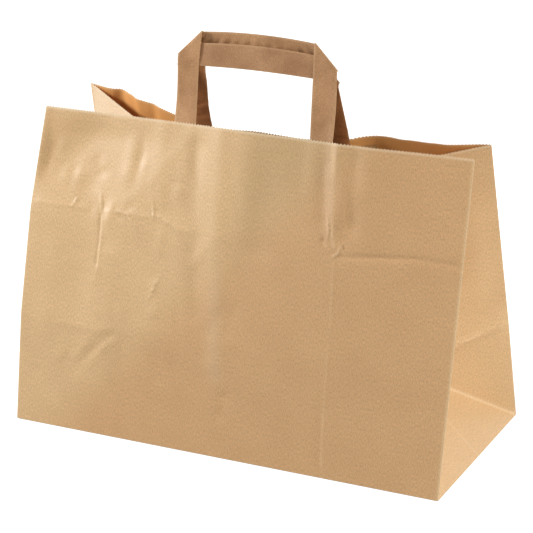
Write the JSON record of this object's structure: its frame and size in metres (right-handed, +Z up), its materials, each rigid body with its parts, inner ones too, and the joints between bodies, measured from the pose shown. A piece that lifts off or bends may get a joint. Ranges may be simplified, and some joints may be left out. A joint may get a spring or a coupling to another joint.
{
  "type": "paper carrier bag",
  "caption": "Block-bottomed kraft paper carrier bag with folded-in side gussets, a pinked rim and flat folded paper handles.",
  "frame": {"origin": "centre of the base, on the surface the bag stands on", "axes": "+X along the width towards the side seen in the picture, +Y from the front panel to the back panel, +Z up"},
  "size_m": [0.35, 0.17, 0.3104],
  "materials": {
    "kraft_sheet": "brown kraft sheet, faint ribs and fibres, soft sheen",
    "kraft_tape": "darker brown folded kraft tape, matt",
    "kraft_tape_dark": "darker brown folded kraft tape, matt",
    "kraft_patch": "brown kraft patch, matt",
    "kraft_patch_back": "brown kraft patch, matt"
  },
  "bodies": {
    "root": {"bag_body": "kraft_sheet", "front_handle": "kraft_tape", "back_handle": "kraft_tape_dark", "front_patch": "kraft_patch", "back_patch": "kraft_patch_back"}
  },
  "joints": []
}
